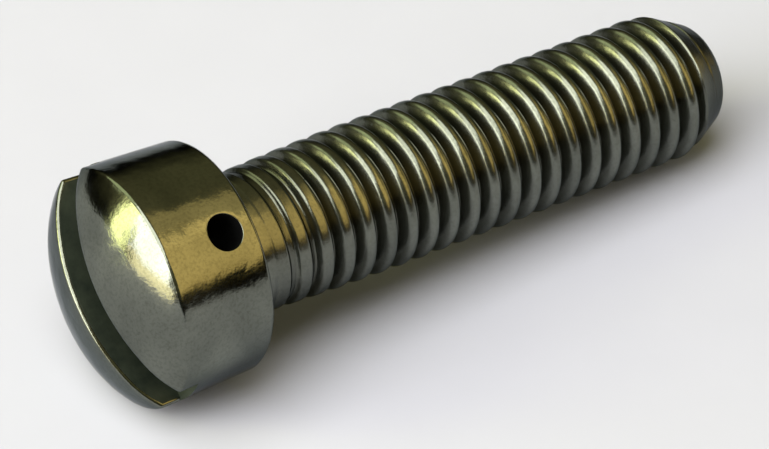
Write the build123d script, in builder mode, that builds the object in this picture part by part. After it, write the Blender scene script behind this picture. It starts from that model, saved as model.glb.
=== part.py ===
from build123d import *
import os
from math import atan2, ceil, cos, degrees, floor, hypot, radians, sin, sqrt, tan

# Cheese head screw with a raised crown, a straight drive slot, a lockwire hole through
# the head, a plain neck and a fine right-hand thread that ends in a chamfered point.
# Millimetres. The screw is turned upright first: the bearing face under the head lies on
# Z = 0, the head stands above it and the shank hangs below. Then it is laid down as it
# rests, on the edge of the bearing face and on the last full thread, with the point
# toward +X. The origin stays at the centre of the bearing face.

# Head
head_front_diameter = 7.69      # at the rim, where the side meets the crown
head_rear_diameter = 7.44       # at the bearing face, so the side narrows slightly
head_side_height = 3.22         # bearing face to rim
crown_rise = 1.28               # rim to the top of the crown
crown_flatness = 1.11           # crown radius over that of one plain spherical cap
crown_shoulder_radius = 3.2     # tighter arc that joins the crown to the rim
rim_edge_radius = 0.08          # broken edge at the rim
bearing_edge_chamfer = 0.1      # broken edge round the bearing face, at 45 degrees

# Drive slot, milled straight across the crown
slot_width = 1.42
slot_depth = 1.95               # from the top of the crown
slot_offset = 0.25              # screw axis to the slot's centre line
slot_angle = 50.5               # about the axis, from the side that faces up at rest

# Lockwire hole, square to the slot and below its floor
wire_hole_diameter = 1.17
wire_hole_height = 1.05         # bearing face to hole centre

# Neck, shank and point
under_head_slope = 0.28         # plain slope from the bearing face into the neck
neck_diameter = 4.50
neck_length = 1.0               # plain, before the thread starts to show
shank_length = 19.05            # bearing face to the end of the point
point_diameter = 3.3            # flat end of the point, before its edge is rounded
point_length = 1.52             # taper, along the axis
point_edge_chamfer = 0.3        # rounded edge of the flat end, drawn as a plain chamfer

# Thread, 32 to the inch, right-hand, with sharp crests and plain flat roots
thread_diameter = 4.826
thread_pitch = 0.794
thread_depth = 0.43
thread_groove_angle = 60.0      # between the two flanks of one groove
crest_runout_length = 4.0       # crests grow to full size over this length past the neck
groove_runout_length = 2.2      # grooves reach full depth over this length past the neck
crest_distance = 2.775          # bearing face to a crest, on the side that faces up at rest

# Derived sizes
front_radius = head_front_diameter / 2
rear_radius = head_rear_diameter / 2
neck_radius = neck_diameter / 2
thread_radius = thread_diameter / 2
groove_radius = thread_radius - thread_depth
point_radius = point_diameter / 2
head_height = head_side_height + crown_rise
neck_end = -neck_length
shank_end = -shank_length

# Crown: a wide arc over the middle, then the tighter shoulder arc out to the rim.
# The shoulder arc touches the wide arc from inside and ends on the rim.
cap_radius = (front_radius**2 + crown_rise**2) / (2 * crown_rise)
crown_radius = crown_flatness * cap_radius
crown_centre = head_height - crown_radius
rim_above_centre = head_side_height - crown_centre
rim_reach = hypot(front_radius, rim_above_centre)
rim_angle = atan2(front_radius, rim_above_centre)
arc_centre_gap = crown_radius - crown_shoulder_radius
gap_along = (arc_centre_gap**2 + rim_reach**2 - crown_shoulder_radius**2) / (2 * rim_reach)
gap_across = sqrt(arc_centre_gap**2 - gap_along**2)
shoulder_angle = rim_angle - atan2(gap_across, gap_along)
crown_top = (0, head_height)
shoulder_start = (
    crown_radius * sin(shoulder_angle),
    crown_centre + crown_radius * cos(shoulder_angle),
)
rim_point = (front_radius, head_side_height)

# Thread ridge: a tooth section swept along the helix, with its foot sunk into the core.
# It is swept two turns at a time, and the sections meet end to end.
foot_sink = 0.06
flank_slope = tan(radians(thread_groove_angle / 2))
foot_half = (thread_depth + foot_sink) * flank_slope
turns_per_sweep = 2
sweep_rise = turns_per_sweep * thread_pitch
start_gap = 0.2 * thread_pitch
crests_above = floor((crest_distance - neck_length - start_gap) / thread_pitch)
thread_start = -crest_distance + crests_above * thread_pitch
sweeps = ceil((thread_start + shank_length + thread_pitch / 2) / sweep_rise)
cut_clearance = 0.5
pick_margin = 0.01              # how near its height an edge must lie to be picked
blank_end = shank_end - cut_clearance

# Cutting outlines: each slope runs on past the thread, so that no cut ends on a crest.
outer_radius = thread_radius + cut_clearance
runout_slope = crest_runout_length / (thread_radius - neck_radius)
runout_cut_length = (outer_radius - neck_radius) * runout_slope
point_slope = point_length / (thread_radius - point_radius)
point_cut_length = (outer_radius - point_radius) * point_slope
tool_end = thread_start - sweeps * sweep_rise - thread_pitch
slot_reach = 1.2 * head_front_diameter
slot_turn = radians(slot_angle)
slot_centre = (slot_offset * sin(slot_turn), -slot_offset * cos(slot_turn))
wire_hole_plane = Plane(
    origin=(0, 0, wire_hole_height),
    z_dir=(sin(slot_turn), -cos(slot_turn), 0),
)

# Rest: the edge where the head's side meets its chamfer and the last full crest on the
# under side touch one level surface. That crest is half a turn from the side that faces up.
side_taper = (front_radius - rear_radius) / head_side_height
rest_edge_radius = rear_radius + bearing_edge_chamfer * side_taper
crests_before_point = floor((shank_length - point_length - crest_distance) / thread_pitch + 0.5)
last_crest = crest_distance + (crests_before_point - 0.5) * thread_pitch
edge_drop = rest_edge_radius - thread_radius
edge_run = last_crest + bearing_edge_chamfer
rest_tilt = degrees(atan2(edge_drop, edge_run))

with BuildPart() as turned_screw:
    # Head, neck and the core under the thread, as one turned blank.
    with BuildSketch(Plane.YZ):
        with BuildLine():
            RadiusArc(crown_top, shoulder_start, crown_radius)
            RadiusArc(shoulder_start, rim_point, crown_shoulder_radius)
            Polyline(
                rim_point,
                (rest_edge_radius, bearing_edge_chamfer),
                (rear_radius - bearing_edge_chamfer, 0),
                (neck_radius + under_head_slope, 0),
                (neck_radius, -under_head_slope),
                (neck_radius, neck_end),
                (groove_radius, neck_end - groove_runout_length),
                (groove_radius, blank_end),
                (0, blank_end),
                crown_top,
            )
        make_face()
    revolve(axis=Axis.Z)
    rings = turned_screw.edges().filter_by(GeomType.CIRCLE)
    rim_zone = (head_side_height - pick_margin, head_side_height + pick_margin)
    fillet(rings.filter_by_position(Axis.Z, *rim_zone), rim_edge_radius)

    # Thread ridge, two turns at a time from the neck down past the end.
    for sweep_number in range(1, sweeps + 1):
        with BuildLine(mode=Mode.PRIVATE):
            helix = Helix(
                pitch=thread_pitch,
                height=sweep_rise,
                radius=groove_radius,
                center=(0, 0, thread_start - sweep_number * sweep_rise),
            )
        with BuildSketch(Plane(origin=helix @ 0, x_dir=(1, 0, 0), z_dir=helix % 0)):
            with BuildLine():
                Polyline(
                    (-foot_sink, -foot_half),
                    (thread_depth, 0),
                    (-foot_sink, foot_half),
                    close=True,
                )
            make_face()
        sweep(path=helix, is_frenet=True)

    # The crests grow from the neck to full size: what stands above that cone is cut away.
    with BuildSketch(Plane.YZ):
        with BuildLine():
            Polyline(
                (neck_radius, neck_end),
                (outer_radius, neck_end - runout_cut_length),
                (outer_radius, neck_end),
                close=True,
            )
        make_face()
    revolve(axis=Axis.Z, mode=Mode.SUBTRACT)

    # Flat end and chamfered point, cut through the last turns of the thread.
    with BuildSketch(Plane.YZ):
        with BuildLine():
            Polyline(
                (0, shank_end),
                (point_radius, shank_end),
                (outer_radius, shank_end + point_cut_length),
                (outer_radius, tool_end),
                (0, tool_end),
                close=True,
            )
        make_face()
    revolve(axis=Axis.Z, mode=Mode.SUBTRACT)
    end_zone = (shank_end - pick_margin, shank_end + pick_margin)
    chamfer(turned_screw.edges().filter_by_position(Axis.Z, *end_zone), point_edge_chamfer)

    # Drive slot straight across the crown, its flat floor below the rim.
    with BuildSketch(Plane.XY.offset(head_height)):
        with Locations(slot_centre):
            Rectangle(slot_reach, slot_width, rotation=slot_angle)
    extrude(amount=-slot_depth, mode=Mode.SUBTRACT)

    # Lockwire hole through the whole head, square to the slot.
    with BuildSketch(wire_hole_plane):
        Circle(wire_hole_diameter / 2)
    extrude(amount=head_front_diameter, both=True, mode=Mode.SUBTRACT)

# The screw as it rests: axis nearly level, point toward +X.
with BuildPart() as screw:
    add(turned_screw.part, rotation=(0, rest_tilt - 90, 0))

screw.part.label = "screw"
os.makedirs("parts", exist_ok=True)
export_step(screw.part, "parts/screw.step")
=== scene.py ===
import bmesh
import bpy
from math import acos, asin, atan2, cos, floor, hypot, pi, radians, sin, sqrt, tan
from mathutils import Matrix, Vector


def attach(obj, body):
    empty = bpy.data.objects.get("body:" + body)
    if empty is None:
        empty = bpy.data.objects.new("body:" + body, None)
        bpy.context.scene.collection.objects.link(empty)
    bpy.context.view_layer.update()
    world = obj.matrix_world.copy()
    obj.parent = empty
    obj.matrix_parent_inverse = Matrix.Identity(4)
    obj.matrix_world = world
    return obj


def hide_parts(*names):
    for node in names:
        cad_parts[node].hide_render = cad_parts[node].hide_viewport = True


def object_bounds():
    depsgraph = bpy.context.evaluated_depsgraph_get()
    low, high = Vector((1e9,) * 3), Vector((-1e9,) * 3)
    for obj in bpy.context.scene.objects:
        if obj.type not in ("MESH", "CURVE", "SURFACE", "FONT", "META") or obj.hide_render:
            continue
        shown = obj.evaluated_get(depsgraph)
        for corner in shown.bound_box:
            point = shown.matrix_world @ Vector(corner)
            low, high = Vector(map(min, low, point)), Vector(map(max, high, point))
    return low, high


# Cheese head screw, lying as it rests, with its point toward +X. The whole screw is one
# closed mesh: it is drawn upright in millimetres, with the bearing face on Z = 0 and the
# head above it, and laid down at the end, into the place of the CAD solid.

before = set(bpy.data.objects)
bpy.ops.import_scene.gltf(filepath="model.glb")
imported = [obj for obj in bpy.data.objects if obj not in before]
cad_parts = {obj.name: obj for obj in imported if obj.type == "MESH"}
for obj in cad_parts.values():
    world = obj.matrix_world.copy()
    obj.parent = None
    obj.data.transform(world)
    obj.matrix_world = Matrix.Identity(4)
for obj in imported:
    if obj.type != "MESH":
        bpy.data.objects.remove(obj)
cad_low, cad_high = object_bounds()

# Head
front_radius = 3.844
rear_radius = 3.7185
side_height = 3.22
crown_rise = 1.28
crown_flatness = 1.11
shoulder_radius = 3.2
rim_edge = 0.05
bearing_edge = 0.1
head_height = side_height + crown_rise
side_taper = (front_radius - rear_radius) / side_height
rest_edge_radius = rear_radius + bearing_edge * side_taper

# Drive slot: its walls stand at two places across the head
slot_half = 0.71
slot_offset = 0.25
slot_floor = head_height - 1.95
slot_turn = radians(50.5)
slot_edge = 0.12
slot_walls = (slot_offset + slot_half, slot_offset - slot_half)
slot_level = 8                  # the row of points, down from the crown, at the slot floor

# Lockwire hole
hole_radius = 0.585
hole_height = 1.05
hole_edge = 0.022
patch_half = 0.95               # patch of the skin round a mouth: half its width
patch_high = 1.95               # and the heights at which it starts and ends
patch_low = 0.15
patch_steps = 10                # columns of points in half a patch

# Neck, thread and point
neck_radius = 2.25
neck_end = -1.0
neck_curve = 0.28
thread_radius = 2.41
thread_depth = 0.43
groove_radius = thread_radius - thread_depth
thread_pitch = 0.794
half_pitch = thread_pitch / 2
flank_angle = radians(60)       # between a flank and the axis
crest_round = 0.22
root_round = half_pitch * tan(flank_angle) - thread_depth - crest_round
crest_distance = 2.775
groove_runout = 2.2
crest_runout = 4.0
crest_sink = 0.05               # how far under the neck's surface the first crests start
crest_blend = 0.08              # widths over which the crests, roots and point blend in
root_blend = 0.05
point_blend = 0.05
shank_end = -19.047
point_radius = 1.65
point_length = 1.517
point_edge = 0.5
point_slope = (thread_radius - point_radius) / point_length

# The screw lies on the edge of its bearing face and on its last full crest. The tilt is
# that of the CAD solid, whose head and sharp crests are a hair larger.
cad_rest_radius = 3.723882
cad_thread_radius = 2.413
turns_to_rest = 18.5            # of the thread, from the crest at crest_distance
last_crest = crest_distance + turns_to_rest * thread_pitch
rest_tilt = atan2(cad_rest_radius - cad_thread_radius, last_crest + bearing_edge)


# Shape of the head

cap_radius = (front_radius**2 + crown_rise**2) / (2 * crown_rise)
crown_radius = crown_flatness * cap_radius
crown_centre = head_height - crown_radius
rim_above = side_height - crown_centre
rim_reach = hypot(front_radius, rim_above)
arc_gap = crown_radius - shoulder_radius
gap_along = (arc_gap**2 + rim_reach**2 - shoulder_radius**2) / (2 * rim_reach)
gap_across = sqrt(arc_gap**2 - gap_along**2)
shoulder_angle = atan2(front_radius, rim_above) - atan2(gap_across, gap_along)
shoulder_start = crown_radius * sin(shoulder_angle)
shoulder_out = arc_gap * sin(shoulder_angle)
shoulder_up = crown_centre + arc_gap * cos(shoulder_angle)


def crown_at(radius):
    """Height of the crown above the bearing face: a wide arc, then a tighter shoulder."""
    if radius <= shoulder_start:
        return crown_centre + sqrt(crown_radius**2 - radius**2)
    return shoulder_up + sqrt(shoulder_radius**2 - (radius - shoulder_out)**2)


def side_at(height):
    """Radius of the head's side, which narrows slightly toward the bearing face."""
    return rear_radius + side_taper * height


def bend(start, corner, end, share):
    """A point on the rounded corner between two runs."""
    return tuple(
        (1 - share)**2 * a + 2 * share * (1 - share) * b + share**2 * c
        for a, b, c in zip(start, corner, end)
    )


# The mesh

points = []
faces = []


def put(x, y, z):
    points.append((x, y, z))
    return len(points) - 1


def put_across(across, along, z):
    """A point given by its distance across and along the drive slot."""
    return put(
        across * sin(slot_turn) + along * cos(slot_turn),
        -across * cos(slot_turn) + along * sin(slot_turn),
        z,
    )


def along_slot(corner):
    """How far a point lies along the drive slot from the middle of the head."""
    x, y, z = points[corner]
    return x * cos(slot_turn) + y * sin(slot_turn)


def panel(*corners):
    """A face, without the corners that fall together."""
    kept = [c for n, c in enumerate(corners) if c != corners[n - 1]]
    if len(set(kept)) > 2:
        faces.append(kept)


def skin(first, second):
    """Faces between two lines of points."""
    for n in range(len(first) - 1):
        panel(first[n], second[n], second[n + 1], first[n + 1])


def spread(start, end, steps):
    """Evenly spaced values that follow start, up to and with end."""
    return [start + (end - start) * n / steps for n in range(1, steps + 1)]


def make_head():
    """The head's skin: crown, slot, side with its two hole mouths, and the hole. Gives the
    ring at the edge of the bearing face, and which faces are in the slot and in the hole."""
    crown_edge = front_radius - rim_edge
    wall_edges = [slot_walls[0] + slot_edge, slot_walls[1] - slot_edge]
    patch_angle = asin(patch_half / side_at(hole_height))
    right_steps, slot_steps, left_steps = 40, 14, 46
    stops = [
        (patch_angle, patch_steps),
        (acos(wall_edges[0] / crown_edge), right_steps),
        (acos(wall_edges[1] / crown_edge), slot_steps),
        (pi - patch_angle, left_steps),
        (pi, patch_steps),
    ]
    angles = [0.0]
    for stop, number in stops:
        angles += spread(angles[-1], stop, number)
    columns = len(angles) - 1
    right = patch_steps + right_steps
    left = right + slot_steps
    rows = 48

    # Rim, side and bearing edge, as radius and height, from the crown outward and down
    rim_start = (crown_edge, crown_at(crown_edge))
    rim_end = (side_at(side_height - rim_edge), side_height - rim_edge)
    profile = [rim_start]
    for share in (0.33, 0.67, 1.0):
        profile.append(bend(rim_start, (front_radius, side_height), rim_end, share))
    heights = spread(rim_end[1], slot_floor, slot_level - len(profile) + 1)
    for height in heights + spread(slot_floor, patch_high, 4):
        profile.append((side_at(height), height))
    patch_top = len(profile) - 1
    for height in spread(patch_high, patch_low, 12):
        profile.append((side_at(height), height))
    patch_bottom = len(profile) - 1
    profile += [
        (rest_edge_radius, bearing_edge),
        (rest_edge_radius - 0.035, 0.04),
        (rear_radius - bearing_edge, 0.0),
    ]

    # Rings round the head. A ring goes round by way of both halves of each column.
    turns = angles + [-a for a in reversed(angles[1:-1])]
    count = len(turns)

    def in_slot(n):
        return right < n < left or count - left < n < count - right

    rings = []
    for level, (radius, height) in enumerate(profile):
        ring = []
        for n, a in enumerate(turns):
            if level < slot_level and in_slot(n):
                ring.append(None)
            else:
                ring.append(put_across(radius * cos(a), radius * sin(a), height))
        rings.append(ring)

    def in_patch(n, level):
        near = n < patch_steps or n >= count - patch_steps
        far = columns - patch_steps <= n < columns + patch_steps
        return (near or far) and patch_top <= level < patch_bottom

    for level in range(len(profile) - 1):
        for n in range(count):
            m = (n + 1) % count
            corners = (rings[level][n], rings[level][m], rings[level + 1][m], rings[level + 1][n])
            if None not in corners and not in_patch(n, level):
                panel(*corners)

    # Crown, in columns along the slot
    steps = [sin(pi * (n / rows - 0.5)) for n in range(rows + 1)]
    crown = {}
    for i in range(columns + 1):
        if right < i < left:
            continue
        across = crown_edge * cos(angles[i])
        reach = crown_edge * sin(angles[i])
        line = []
        for j, step in enumerate(steps):
            if i in (0, columns) or j == rows:
                line.append(rings[0][i])
            elif j == 0:
                line.append(rings[0][(count - i) % count])
            else:
                along = reach * step
                line.append(put_across(across, along, crown_at(hypot(across, along))))
        crown[i] = line
    for i in range(columns):
        if i in crown and i + 1 in crown:
            skin(crown[i], crown[i + 1])

    # Slot walls, each with a rounded edge that runs over the crown and down both ends
    floors = []
    wall_runs = []
    for wall, i in ((slot_walls[0], right), (slot_walls[1], left)):
        near_end = [rings[level][count - i] for level in range(slot_level, 0, -1)]
        far_end = [rings[level][i] for level in range(1, slot_level + 1)]
        outer = near_end + crown[i] + far_end
        sharp = []
        for n, corner in enumerate(outer):
            x, y, z = points[corner]
            along = along_slot(corner)
            radius = hypot(x, y)
            if n < slot_level or n >= len(outer) - slot_level:
                along = sqrt(radius**2 - wall**2) * (1 if along > 0 else -1)
            else:
                share = steps[n - slot_level]
                along = sqrt(crown_edge**2 - wall**2) * share
                z = crown_at(hypot(wall, along))
            sharp.append((along, z))
        inner = []
        for n, (along, z) in enumerate(sharp):
            before = sharp[max(n - 1, 0)]
            after = sharp[min(n + 1, len(sharp) - 1)]
            run = (after[0] - before[0], after[1] - before[1])
            length = hypot(*run)
            inner.append((along + slot_edge * run[1] / length, z - slot_edge * run[0] / length))
        inner[0] = (inner[0][0], slot_floor)
        inner[-1] = (inner[-1][0], slot_floor)
        strips = [outer]
        for share in (0.3, 0.6, 1.0):
            line = []
            for n, corner in enumerate(outer):
                x, y, z = points[corner]
                start = (x * sin(slot_turn) - y * cos(slot_turn), along_slot(corner), z)
                edge = (wall, *sharp[n])
                line.append(put_across(*bend(start, edge, (wall, *inner[n]), share)))
            skin(strips[-1], line)
            strips.append(line)
        rim_line = strips[-1]
        near = rim_line[:slot_level + 1]
        far = rim_line[len(rim_line) - slot_level - 1:][::-1]
        top = rim_line[slot_level:len(rim_line) - slot_level]
        heights = [points[p][2] for p in near]
        shares = [(h - slot_floor) / (heights[-1] - slot_floor) for h in heights]
        wall_columns = [near]
        for corner in top[1:-1]:
            along = along_slot(corner)
            rise = points[corner][2] - slot_floor
            line = [put_across(wall, along, slot_floor + share * rise) for share in shares[:-1]]
            wall_columns.append(line + [corner])
        wall_columns.append(far)
        wall_runs.append(wall_columns)
        foot = [column[0] for column in wall_columns]
        floors.append((foot, [strip[0] for strip in strips], [strip[-1] for strip in strips]))

    # Slot walls, and the slot floor out to the head's side at both ends
    slot_from = len(faces)
    for wall_columns in wall_runs:
        for a, b in zip(wall_columns, wall_columns[1:]):
            skin(a, b)
    (right_foot, right_near, right_far), (left_foot, left_near, left_far) = floors
    skin(right_foot, left_foot)
    mouth = rings[slot_level]
    panel(*right_far[::-1], *mouth[right + 1:left], *left_far)
    panel(*right_near[::-1], *mouth[count - left + 1:count - right][::-1], *left_near)
    slot_faces = range(slot_from, len(faces))

    # Lockwire hole: on each side a patch of the skin closes in on the round mouth
    mouths = []
    for facing, middle in ((1, 0), (-1, columns)):
        first, last = middle - patch_steps, middle + patch_steps
        border = [rings[patch_top][n % count] for n in range(first, last)]
        border += [rings[level][last % count] for level in range(patch_top, patch_bottom)]
        border += [rings[patch_bottom][n % count] for n in range(last, first, -1)]
        border += [rings[level][first % count] for level in range(patch_bottom, patch_top, -1)]
        arounds = [atan2(points[corner][2] - hole_height, along_slot(corner)) for corner in border]
        loops = [border]
        for share in (0.3, 0.55, 0.8, 1.0):
            rim = hole_radius + hole_edge
            loop = []
            for corner, around in zip(border, arounds):
                z = points[corner][2]
                along = along_slot(corner)
                along += share * (rim * cos(around) - along)
                height = z + share * (hole_height + rim * sin(around) - z)
                across = facing * sqrt(side_at(height)**2 - along**2)
                loop.append(put_across(across, along, height))
            loops.append(loop)
        for turn in spread(0.0, pi / 2, 4):
            rim = hole_radius + (1 - sin(turn)) * hole_edge
            sink = hole_edge * (1 - cos(turn))
            loop = []
            for around in arounds:
                along = rim * cos(around)
                height = hole_height + rim * sin(around)
                across = sqrt(side_at(height)**2 - along**2) - sink
                loop.append(put_across(facing * across, along, height))
            loops.append(loop)
        for a, b in zip(loops, loops[1:]):
            skin(a + a[:1], b + b[:1])
        mouths.append(loops[-1])

    # The bore itself. The far loop is the near one seen from behind, so it is turned round.
    def spot_of(corner):
        return round(along_slot(corner), 4), round(points[corner][2], 4)

    near_mouth, far_mouth = mouths
    spots = {spot_of(corner): corner for corner in far_mouth}
    partner = [spots[spot_of(corner)] for corner in near_mouth]
    bore_from = len(faces)
    last = near_mouth
    for share in (0.04, 0.1, 0.2, 0.35, 0.5, 0.65, 0.8, 0.9, 0.96):
        loop = []
        for a, b in zip(near_mouth, partner):
            loop.append(put(*[p + share * (q - p) for p, q in zip(points[a], points[b])]))
        skin(last + last[:1], loop + loop[:1])
        last = loop
    skin(last + last[:1], partner + partner[:1])
    bore_faces = range(bore_from, len(faces))
    return rings[-1], slot_faces, bore_faces


# Neck, thread and point

def soft_low(a, b, width):
    """The lower of two heights, with the corner between them rounded."""
    share = max(width - abs(a - b), 0) / width
    return min(a, b) - share * share * width / 4


def soft_high(a, b, width):
    return -soft_low(-a, -b, width)


def thread_at(off_crest):
    """Radius of the full thread at a distance from the crest line: a round crest, a straight
    flank and a small round root, as rolling leaves them."""
    crest_reach = crest_round * sin(flank_angle)
    root_reach = root_round * sin(flank_angle)
    to_root = half_pitch - off_crest
    if off_crest < crest_reach:
        return thread_radius - crest_round + sqrt(crest_round**2 - off_crest**2)
    if to_root < root_reach:
        return groove_radius + root_round - sqrt(root_round**2 - to_root**2)
    flank_top = thread_radius - crest_round * (1 - cos(flank_angle))
    return flank_top - (off_crest - crest_reach) * tan(flank_angle)


def shank_at(height, turn):
    """Radius of the shank. turn is in whole turns, clockwise from the side that faces up."""
    below = -height
    off_crest = (below - crest_distance - turn * thread_pitch) / thread_pitch
    off_crest = abs(off_crest - floor(off_crest + 0.5)) * thread_pitch
    core = neck_radius
    if below > -neck_end:
        share = min((below + neck_end) / groove_runout, 1.0)
        core += share * (groove_radius - neck_radius)
    crest = neck_radius + (below + neck_end) / crest_runout * (thread_radius - neck_radius)
    ridge = soft_low(thread_at(off_crest), max(crest, neck_radius - crest_sink), crest_blend)
    if below <= -neck_end:
        radius = core
    elif core > groove_radius:
        radius = soft_high(ridge, core, root_blend)
    else:
        radius = ridge
    point = point_radius + (height - shank_end) * point_slope
    return min(soft_low(radius, point, point_blend), thread_radius)


def make_shank():
    """Neck, thread and point. The rows of points follow the thread round, so every crest
    and root is one clean line. Gives the ring at the bearing face."""
    count = 128
    steps = [
        0, 0.035, 0.07, 0.105, 0.137, 0.167, 0.19,
        0.225, 0.265, 0.305, 0.345, 0.365, 0.382,
    ]
    offsets = steps + [half_pitch] + [thread_pitch - step for step in steps[:0:-1]]
    per_turn = len(offsets)
    turns_up, turns_in_all = 3, 22
    first = crest_distance - turns_up * thread_pitch
    rows = turns_in_all * per_turn

    def spot(k, depth):
        turn = k / count
        radius = shank_at(-depth, turn)
        return put(radius * cos(-2 * pi * turn), radius * sin(-2 * pi * turn), -depth)

    def row_depth(k, row):
        whole, part = divmod(row, per_turn)
        return first + (whole + k / count) * thread_pitch + offsets[part]

    seam = [spot(0, row_depth(0, row)) for row in range(rows + per_turn + 1)]
    lines = [[seam[0]] * per_turn + seam]
    for k in range(1, count):
        lead = k / count
        line = [spot(k, first + lead * offsets[n]) for n in range(per_turn)]
        line += [spot(k, row_depth(k, row)) for row in range(rows + 1)]
        ends = offsets[1:] + [thread_pitch]
        line += [spot(k, row_depth(k, rows) + (1 - lead) * end) for end in ends]
        lines.append(line)
    lines.append(seam + [seam[-1]] * per_turn)
    for a, b in zip(lines, lines[1:]):
        skin(a, b)

    def ring(radius, height):
        return [
            put(radius * cos(-2 * pi * k / count), radius * sin(-2 * pi * k / count), height)
            for k in range(count)
        ]

    # Up from the first row: plain neck, then the curve into the bearing face
    top = [line[0] for line in lines[:-1]]
    face_edge = (neck_radius + neck_curve, 0.0)
    for share in (0.0, 0.2, 0.4, 0.6, 0.8, 1.0):
        radius, height = bend((neck_radius, -neck_curve), (neck_radius, 0.0), face_edge, share)
        upper = ring(radius, height)
        skin(top + top[:1], upper + upper[:1])
        top = upper

    # Down from the last row: the cone, its rounded edge and the flat end
    low = [line[-1] for line in lines[:-1]]
    slant = atan2(point_slope, 1.0)
    tangent = point_edge * tan((pi / 2 - slant) / 2)
    cone_stop = (point_radius + tangent * sin(slant), shank_end + tangent * cos(slant))
    flat_start = (point_radius - tangent, shank_end)
    start_height = points[low[0]][2]
    outline = []
    for height in spread(start_height, cone_stop[1], 4):
        outline.append((point_radius + (height - shank_end) * point_slope, height))
    for share in spread(0.0, 1.0, 7):
        outline.append(bend(cone_stop, (point_radius, shank_end), flat_start, share))
    outline += [(radius, shank_end) for radius in (0.85, 0.4)]
    for radius, height in outline:
        lower = ring(radius, height)
        skin(low + low[:1], lower + lower[:1])
        low = lower
    middle = put(0.0, 0.0, shank_end)
    for k in range(count):
        panel(low[k], low[(k + 1) % count], middle)
    return top


def close_bearing_face(outer, inner):
    """The flat ring under the head, between two rings with different numbers of points."""
    def turn_of(corner):
        x, y, z = points[corner]
        return atan2(y, x) % (2 * pi)

    outer = sorted(outer, key=turn_of)
    inner = sorted(inner, key=turn_of)
    a, b = 0, 0
    while a < len(outer) or b < len(inner):
        next_a = turn_of(outer[a + 1]) if a + 1 < len(outer) else 2 * pi + turn_of(outer[0])
        next_b = turn_of(inner[b + 1]) if b + 1 < len(inner) else 2 * pi + turn_of(inner[0])
        if b == len(inner) or (a < len(outer) and next_a <= next_b):
            panel(outer[a], outer[(a + 1) % len(outer)], inner[b % len(inner)])
            a += 1
        else:
            panel(outer[a % len(outer)], inner[(b + 1) % len(inner)], inner[b])
            b += 1


def lay_down(point):
    """From the upright drawing in millimetres to the resting screw in metres."""
    x, y, z = point
    return (
        (x * sin(rest_tilt) - z * cos(rest_tilt)) / 1000,
        y / 1000,
        (x * cos(rest_tilt) + z * sin(rest_tilt)) / 1000,
    )


def make_screw():
    """Both parts as one mesh, laid down as it rests, with its three finishes by number."""
    head_ring, slot_faces, bore_faces = make_head()
    neck_ring = make_shank()
    close_bearing_face(head_ring, neck_ring)
    mesh = bpy.data.meshes.new("screw_body")
    mesh.from_pydata([lay_down(p) for p in points], [], faces)
    work = bmesh.new()
    work.from_mesh(mesh)
    bmesh.ops.recalc_face_normals(work, faces=work.faces)
    work.to_mesh(mesh)
    work.free()
    # Smooth all over, but for edges that turn more sharply than this
    crisp_angle = radians(50)
    mesh.polygons.foreach_set("use_smooth", [True] * len(mesh.polygons))
    mesh.set_sharp_from_angle(angle=crisp_angle)
    for number in slot_faces:
        mesh.polygons[number].material_index = 1
    for number in bore_faces:
        mesh.polygons[number].material_index = 2
    mesh.update()
    body = bpy.data.objects.new("screw_body", mesh)
    bpy.context.collection.objects.link(body)
    return body


# Materials

def colour(text):
    """An sRGB hex colour as linear light."""
    parts = [int(text[n:n + 2], 16) / 255 for n in (1, 3, 5)]
    return tuple(p / 12.92 if p < 0.04045 else ((p + 0.055) / 1.055)**2.4 for p in parts) + (1.0,)


def add_node(tree, kind, settings, links=None):
    """Adds a node. Settings are its options and the values on its sockets."""
    node = tree.nodes.new(kind)
    for key, value in settings.items():
        if isinstance(key, int) or key in node.inputs:
            node.inputs[key].default_value = value
        else:
            setattr(node, key, value)
    for key, source in (links or {}).items():
        tree.links.new(source, node.inputs[key])
    return node


def new_material(name):
    material = bpy.data.materials.new(name)
    material.use_nodes = True
    tree = material.node_tree
    tree.nodes.clear()
    return material, tree


MM = 0.001
# Away from the point, along the axis of the screw as it lies
outward = (-cos(rest_tilt), 0.0, sin(rest_tilt))


def place_on(tree):
    return add_node(tree, "ShaderNodeTexCoord", {}).outputs["Object"]


def height_over_face(tree, place):
    """Height above the bearing face, in metres."""
    return add_node(tree, "ShaderNodeVectorMath", {
        "operation": "DOT_PRODUCT", 1: outward,
    }, {0: place}).outputs["Value"]


def distance_from_axis(tree, place, height):
    """Distance from the screw's axis, in metres."""
    on_axis = add_node(tree, "ShaderNodeVectorMath", {
        "operation": "SCALE", 0: outward,
    }, {"Scale": height}).outputs["Vector"]
    off_axis = add_node(tree, "ShaderNodeVectorMath", {
        "operation": "SUBTRACT",
    }, {0: place, 1: on_axis}).outputs["Vector"]
    return add_node(tree, "ShaderNodeVectorMath", {
        "operation": "LENGTH",
    }, {0: off_axis}).outputs["Value"]


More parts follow.
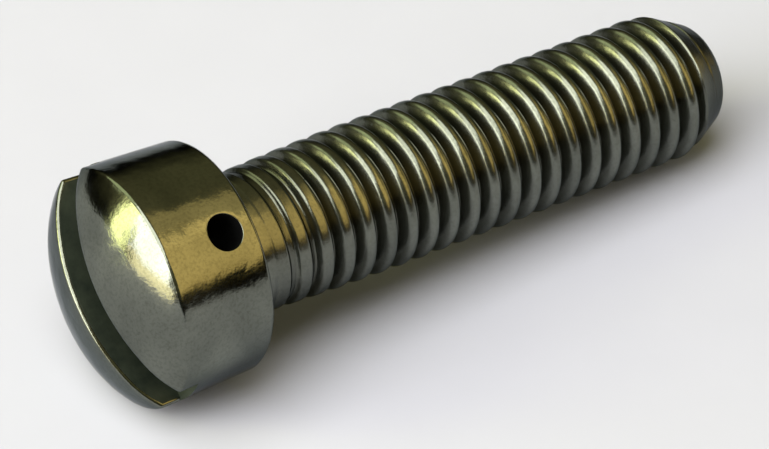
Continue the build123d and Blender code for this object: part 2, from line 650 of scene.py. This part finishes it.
def turned_zinc_plate():
    """Bright zinc plate on turned and rolled steel: a smooth metal with a faint yellow-green
    cast. Handling has left it slightly uneven and finely speckled, with faint lathe marks
    round the axis. In the thread the colour is darkened toward the roots: a dull coat of oil
    and dust, and painted shade in the roots and on the flanks. The crests, rubbed clean, keep
    the plate's own colour."""
    material, tree = new_material("turned_steel_bright_zinc_plate")
    place = place_on(tree)
    height = height_over_face(tree, place)
    radius = distance_from_axis(tree, place, height)

    # 1 on the threaded shank and 0 on the head; 1 on the crests and 0 in the roots
    shank = add_node(tree, "ShaderNodeMapRange", {
        "From Min": -0.2 * MM, "From Max": -1.2 * MM,
    }, {"Value": height}).outputs["Result"]
    crest = add_node(tree, "ShaderNodeMapRange", {
        "From Min": 2.02 * MM, "From Max": 2.38 * MM,
    }, {"Value": radius}).outputs["Result"]
    # Darker toward the thread's roots: a coat of oil and dust, with painted shade in the roots
    root_dust_and_shade = add_node(tree, "ShaderNodeMath", {"operation": "SUBTRACT", 0: 1.0}, {1: crest})
    root_dust_and_shade = add_node(tree, "ShaderNodeMath", {
        "operation": "MULTIPLY",
    }, {0: root_dust_and_shade.outputs[0], 1: shank}).outputs[0]

    # Cloudy patches about 1.5 mm across, and specks of about 0.1 mm
    cloud = add_node(tree, "ShaderNodeTexNoise", {
        "Scale": 1 / (1.7 * MM), "Detail": 3.0, "Roughness": 0.46,
    }, {"Vector": place}).outputs["Fac"]
    speck = add_node(tree, "ShaderNodeTexNoise", {
        "Scale": 1 / (0.1 * MM), "Detail": 2.0, "Roughness": 0.65,
    }, {"Vector": place}).outputs["Fac"]
    # Lathe marks: about 0.09 mm apart, coarser than the real ones so that they show
    turned = add_node(tree, "ShaderNodeCombineXYZ", {}, {"X": radius, "Y": height})
    mark = add_node(tree, "ShaderNodeTexNoise", {
        "Scale": 1 / (0.09 * MM), "Detail": 1.0,
    }, {"Vector": turned.outputs[0]}).outputs["Fac"]

    plate = add_node(tree, "ShaderNodeValToRGB", {}, {"Fac": cloud})
    plate.color_ramp.elements[0].position = 0.35
    plate.color_ramp.elements[0].color = colour("#63665F")
    plate.color_ramp.elements[1].position = 0.65
    plate.color_ramp.elements[1].color = colour("#72756D")
    specked = add_node(tree, "ShaderNodeValToRGB", {}, {"Fac": speck})
    specked.color_ramp.elements[0].position = 0.3
    specked.color_ramp.elements[0].color = colour("#E4E4E2")
    specked.color_ramp.elements[1].position = 0.55
    specked.color_ramp.elements[1].color = colour("#FFFFFF")
    body = add_node(tree, "ShaderNodeMix", {
        "data_type": "RGBA", "blend_type": "MULTIPLY", 0: 1.0,
    }, {6: plate.outputs["Color"], 7: specked.outputs["Color"]}).outputs[2]
    # The plate, darkened toward the thread's roots: oil and dust, and painted shade
    base = add_node(tree, "ShaderNodeMix", {
        "data_type": "RGBA", 7: colour("#50514A"),
    }, {0: root_dust_and_shade, 6: body}).outputs[2]

    rough_body = add_node(tree, "ShaderNodeMapRange", {
        "From Min": 0.3, "From Max": 0.7, "To Min": 0.1, "To Max": 0.17,
    }, {"Value": cloud}).outputs["Result"]
    rough = add_node(tree, "ShaderNodeMix", {3: 0.25}, {0: shank, 2: rough_body}).outputs[0]

    # Heights in metres: the cloudy unevenness, the specks and the lathe marks
    uneven = add_node(tree, "ShaderNodeMath", {"operation": "MULTIPLY", 1: 0.06 * MM}, {0: cloud})
    grit = add_node(tree, "ShaderNodeMath", {
        "operation": "MULTIPLY_ADD", 1: 0.003 * MM,
    }, {0: speck, 2: uneven.outputs[0]})
    relief = add_node(tree, "ShaderNodeMath", {
        "operation": "MULTIPLY_ADD", 1: 0.0012 * MM,
    }, {0: mark, 2: grit.outputs[0]})
    bump = add_node(tree, "ShaderNodeBump", {
        "Strength": 1.0, "Distance": 1.0,
    }, {"Height": relief.outputs[0]})

    shader = add_node(tree, "ShaderNodeBsdfPrincipled", {
        "Metallic": 1.0, "Specular Tint": colour("#BABEC2"),
    }, {
        "Base Color": base, "Roughness": rough, "Normal": bump.outputs["Normal"],
    })
    add_node(tree, "ShaderNodeOutputMaterial", {}, {"Surface": shader.outputs[0]})
    return material


def milled_slot():
    """Steel milled straight through and plated: the slot's walls and floor are duller than
    the crown and carry fine cutter marks along their length. Their colour is dark green-grey,
    far darker than the plate: oil, and painted shade in the slot."""
    material, tree = new_material("milled_steel_dull_plate_oil_and_shade")
    place = place_on(tree)
    height = height_over_face(tree, place)
    # Cutter marks about 0.1 mm apart up the walls
    marks = add_node(tree, "ShaderNodeCombineXYZ", {}, {"X": height})
    mark = add_node(tree, "ShaderNodeTexNoise", {
        "Scale": 1 / (0.1 * MM), "Detail": 1.0,
    }, {"Vector": marks.outputs[0]}).outputs["Fac"]
    cloud = add_node(tree, "ShaderNodeTexNoise", {
        "Scale": 1 / (0.7 * MM), "Detail": 4.0, "Roughness": 0.6,
    }, {"Vector": place}).outputs["Fac"]
    # Dark green-grey, far darker than the plate: oil, and painted shade in the slot
    tint = add_node(tree, "ShaderNodeValToRGB", {}, {"Fac": cloud})
    tint.color_ramp.elements[0].position = 0.35
    tint.color_ramp.elements[0].color = colour("#283029")
    tint.color_ramp.elements[1].position = 0.65
    tint.color_ramp.elements[1].color = colour("#3A4137")
    relief = add_node(tree, "ShaderNodeMath", {"operation": "MULTIPLY", 1: 0.003 * MM}, {0: mark})
    bump = add_node(tree, "ShaderNodeBump", {
        "Strength": 1.0, "Distance": 1.0,
    }, {"Height": relief.outputs[0]})
    shader = add_node(tree, "ShaderNodeBsdfPrincipled", {"Metallic": 0.6, "Roughness": 0.55}, {
        "Base Color": tint.outputs["Color"], "Normal": bump.outputs["Normal"],
    })
    add_node(tree, "ShaderNodeOutputMaterial", {}, {"Surface": shader.outputs[0]})
    return material


def drilled_bore():
    """Bare drilled steel, near black: painted shade inside the bore. No plate reaches the middle
    of the bore.
    """
    material, tree = new_material("drilled_steel_painted_shade")
    place = place_on(tree)
    cloud = add_node(tree, "ShaderNodeTexNoise", {
        "Scale": 1 / (0.3 * MM), "Detail": 2.0,
    }, {"Vector": place}).outputs["Fac"]
    # Near black: painted shade inside the bore
    tint = add_node(tree, "ShaderNodeValToRGB", {}, {"Fac": cloud})
    tint.color_ramp.elements[0].color = colour("#08080B")
    tint.color_ramp.elements[1].color = colour("#1C1C1E")
    shader = add_node(tree, "ShaderNodeBsdfPrincipled", {"Metallic": 0.8, "Roughness": 0.6}, {
        "Base Color": tint.outputs["Color"],
    })
    add_node(tree, "ShaderNodeOutputMaterial", {}, {"Surface": shader.outputs[0]})
    return material


def pale_board():
    """Matt painted board under the screw: pale and even, with the faintest grain."""
    material, tree = new_material("matt_painted_board")
    # Grain about 4 mm across
    grain = add_node(tree, "ShaderNodeTexNoise", {
        "Scale": 1 / (3.85 * MM), "Detail": 3.0,
    }, {"Vector": place_on(tree)})
    tint = add_node(tree, "ShaderNodeValToRGB", {}, {"Fac": grain.outputs["Fac"]})
    tint.color_ramp.elements[0].color = colour("#C4C5DA")
    tint.color_ramp.elements[1].color = colour("#C8C9DE")
    shader = add_node(tree, "ShaderNodeBsdfPrincipled", {
        "Roughness": 0.9, "Specular IOR Level": 0.1,
    }, {"Base Color": tint.outputs["Color"]})
    add_node(tree, "ShaderNodeOutputMaterial", {}, {"Surface": shader.outputs[0]})
    return material


# The piece

screw = make_screw()
for finish in (turned_zinc_plate(), milled_slot(), drilled_bore()):
    screw.data.materials.append(finish)
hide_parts("screw")
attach(screw, "root")

# Floor, light and camera

floor_mesh = bpy.data.meshes.new("floor_board")
floor_half = 1.5
floor_corners = [
    (x * floor_half, y * floor_half, cad_low.z)
    for x, y in ((-1, -1), (1, -1), (1, 1), (-1, 1))
]
floor_mesh.from_pydata(floor_corners, [], [(0, 1, 2, 3)])
floor_board = bpy.data.objects.new("floor_board", floor_mesh)
bpy.context.collection.objects.link(floor_board)
floor_board.data.materials.append(pale_board())


lit_spot = Vector((0.004, 0.0, 0.0))    # a place on the axis, not far behind the head
lamp_distance = 0.6
watts_per_area = 4                      # of a lamp, at strength 1


def soft_box(name, turn, rise, width, height, strength, tint):
    """A soft box that faces the screw. turn is from +Y toward +X and rise is above the
    horizon, both in degrees; strength is how bright its face looks, where 1 is white."""
    lamp = bpy.data.lights.new(name, "AREA")
    lamp.shape = "RECTANGLE"
    lamp.size = width
    lamp.size_y = height
    lamp.energy = watts_per_area * width * height * strength
    lamp.color = colour(tint)[:3]
    holder = bpy.data.objects.new(name, lamp)
    bpy.context.collection.objects.link(holder)
    a, b = radians(turn), radians(rise)
    away = Vector((sin(a) * cos(b), cos(a) * cos(b), sin(b)))
    holder.location = lit_spot + lamp_distance * away
    holder.rotation_euler = away.to_track_quat("Z", "Y").to_euler()
    return holder


soft_box("front_low_soft_box", -92, 24, 0.42, 0.31, 6.2, "#FFFEF4")
soft_box("front_low_gold_strip", -92, 4.5, 0.42, 0.1, 4.5, "#FFF0BE")
soft_box("front_high_soft_box", -102, 65, 0.5, 0.55, 3.7, "#FFFFF2")
soft_box("front_warm_soft_box", -62, 19, 0.16, 0.41, 6.2, "#FFFFB4")
# These light cards show only as a gold and green cast in the metal, not on the floor.
for card in (
    soft_box("side_warm_card", 145, 37, 0.44, 0.50, 1.55, "#FFD880"),
    soft_box("back_warm_card", 104, 54, 0.28, 0.24, 0.75, "#FFDF8C"),
    soft_box("back_low_warm_card", 102, 11, 0.32, 0.18, 1.3, "#FFDF8C"),
    soft_box("top_green_card", -22, 46, 0.42, 0.42, 1.4, "#E8F4BC"),
):
    card.visible_diffuse = False

# A dark room: near black at the level of the floor, olive grey higher up
world = bpy.data.worlds.new("dark_studio")
world.use_nodes = True
tree = world.node_tree
sky = add_node(tree, "ShaderNodeTexCoord", {})
level = add_node(tree, "ShaderNodeSeparateXYZ", {}, {0: sky.outputs["Generated"]})
shade = add_node(tree, "ShaderNodeValToRGB", {}, {"Fac": level.outputs["Z"]})
shade.color_ramp.elements[0].position = 0.12
shade.color_ramp.elements[0].color = colour("#0C0C0B")
shade.color_ramp.elements[1].position = 0.5
shade.color_ramp.elements[1].color = colour("#88835A")
tree.links.new(shade.outputs["Color"], tree.nodes["Background"].inputs["Color"])
bpy.context.scene.world = world

focal_length = 4413.84          # in pixels of the photo, as fitted to it
photo_width = 769               # in pixels
camera = bpy.data.cameras.new("camera")
camera.sensor_width = 36
camera.lens = focal_length * camera.sensor_width / photo_width
camera.clip_start = 0.01
viewer = bpy.data.objects.new("camera", camera)
viewer.location = (-0.05515148, -0.08751613, 0.08665296)
sight = Vector((0.4445184, 0.6295684, -0.6372182))
viewer.rotation_euler = sight.to_track_quat("-Z", "Y").to_euler()
bpy.context.collection.objects.link(viewer)
bpy.context.scene.camera = viewer

bpy.context.scene.view_settings.view_transform = "Standard"
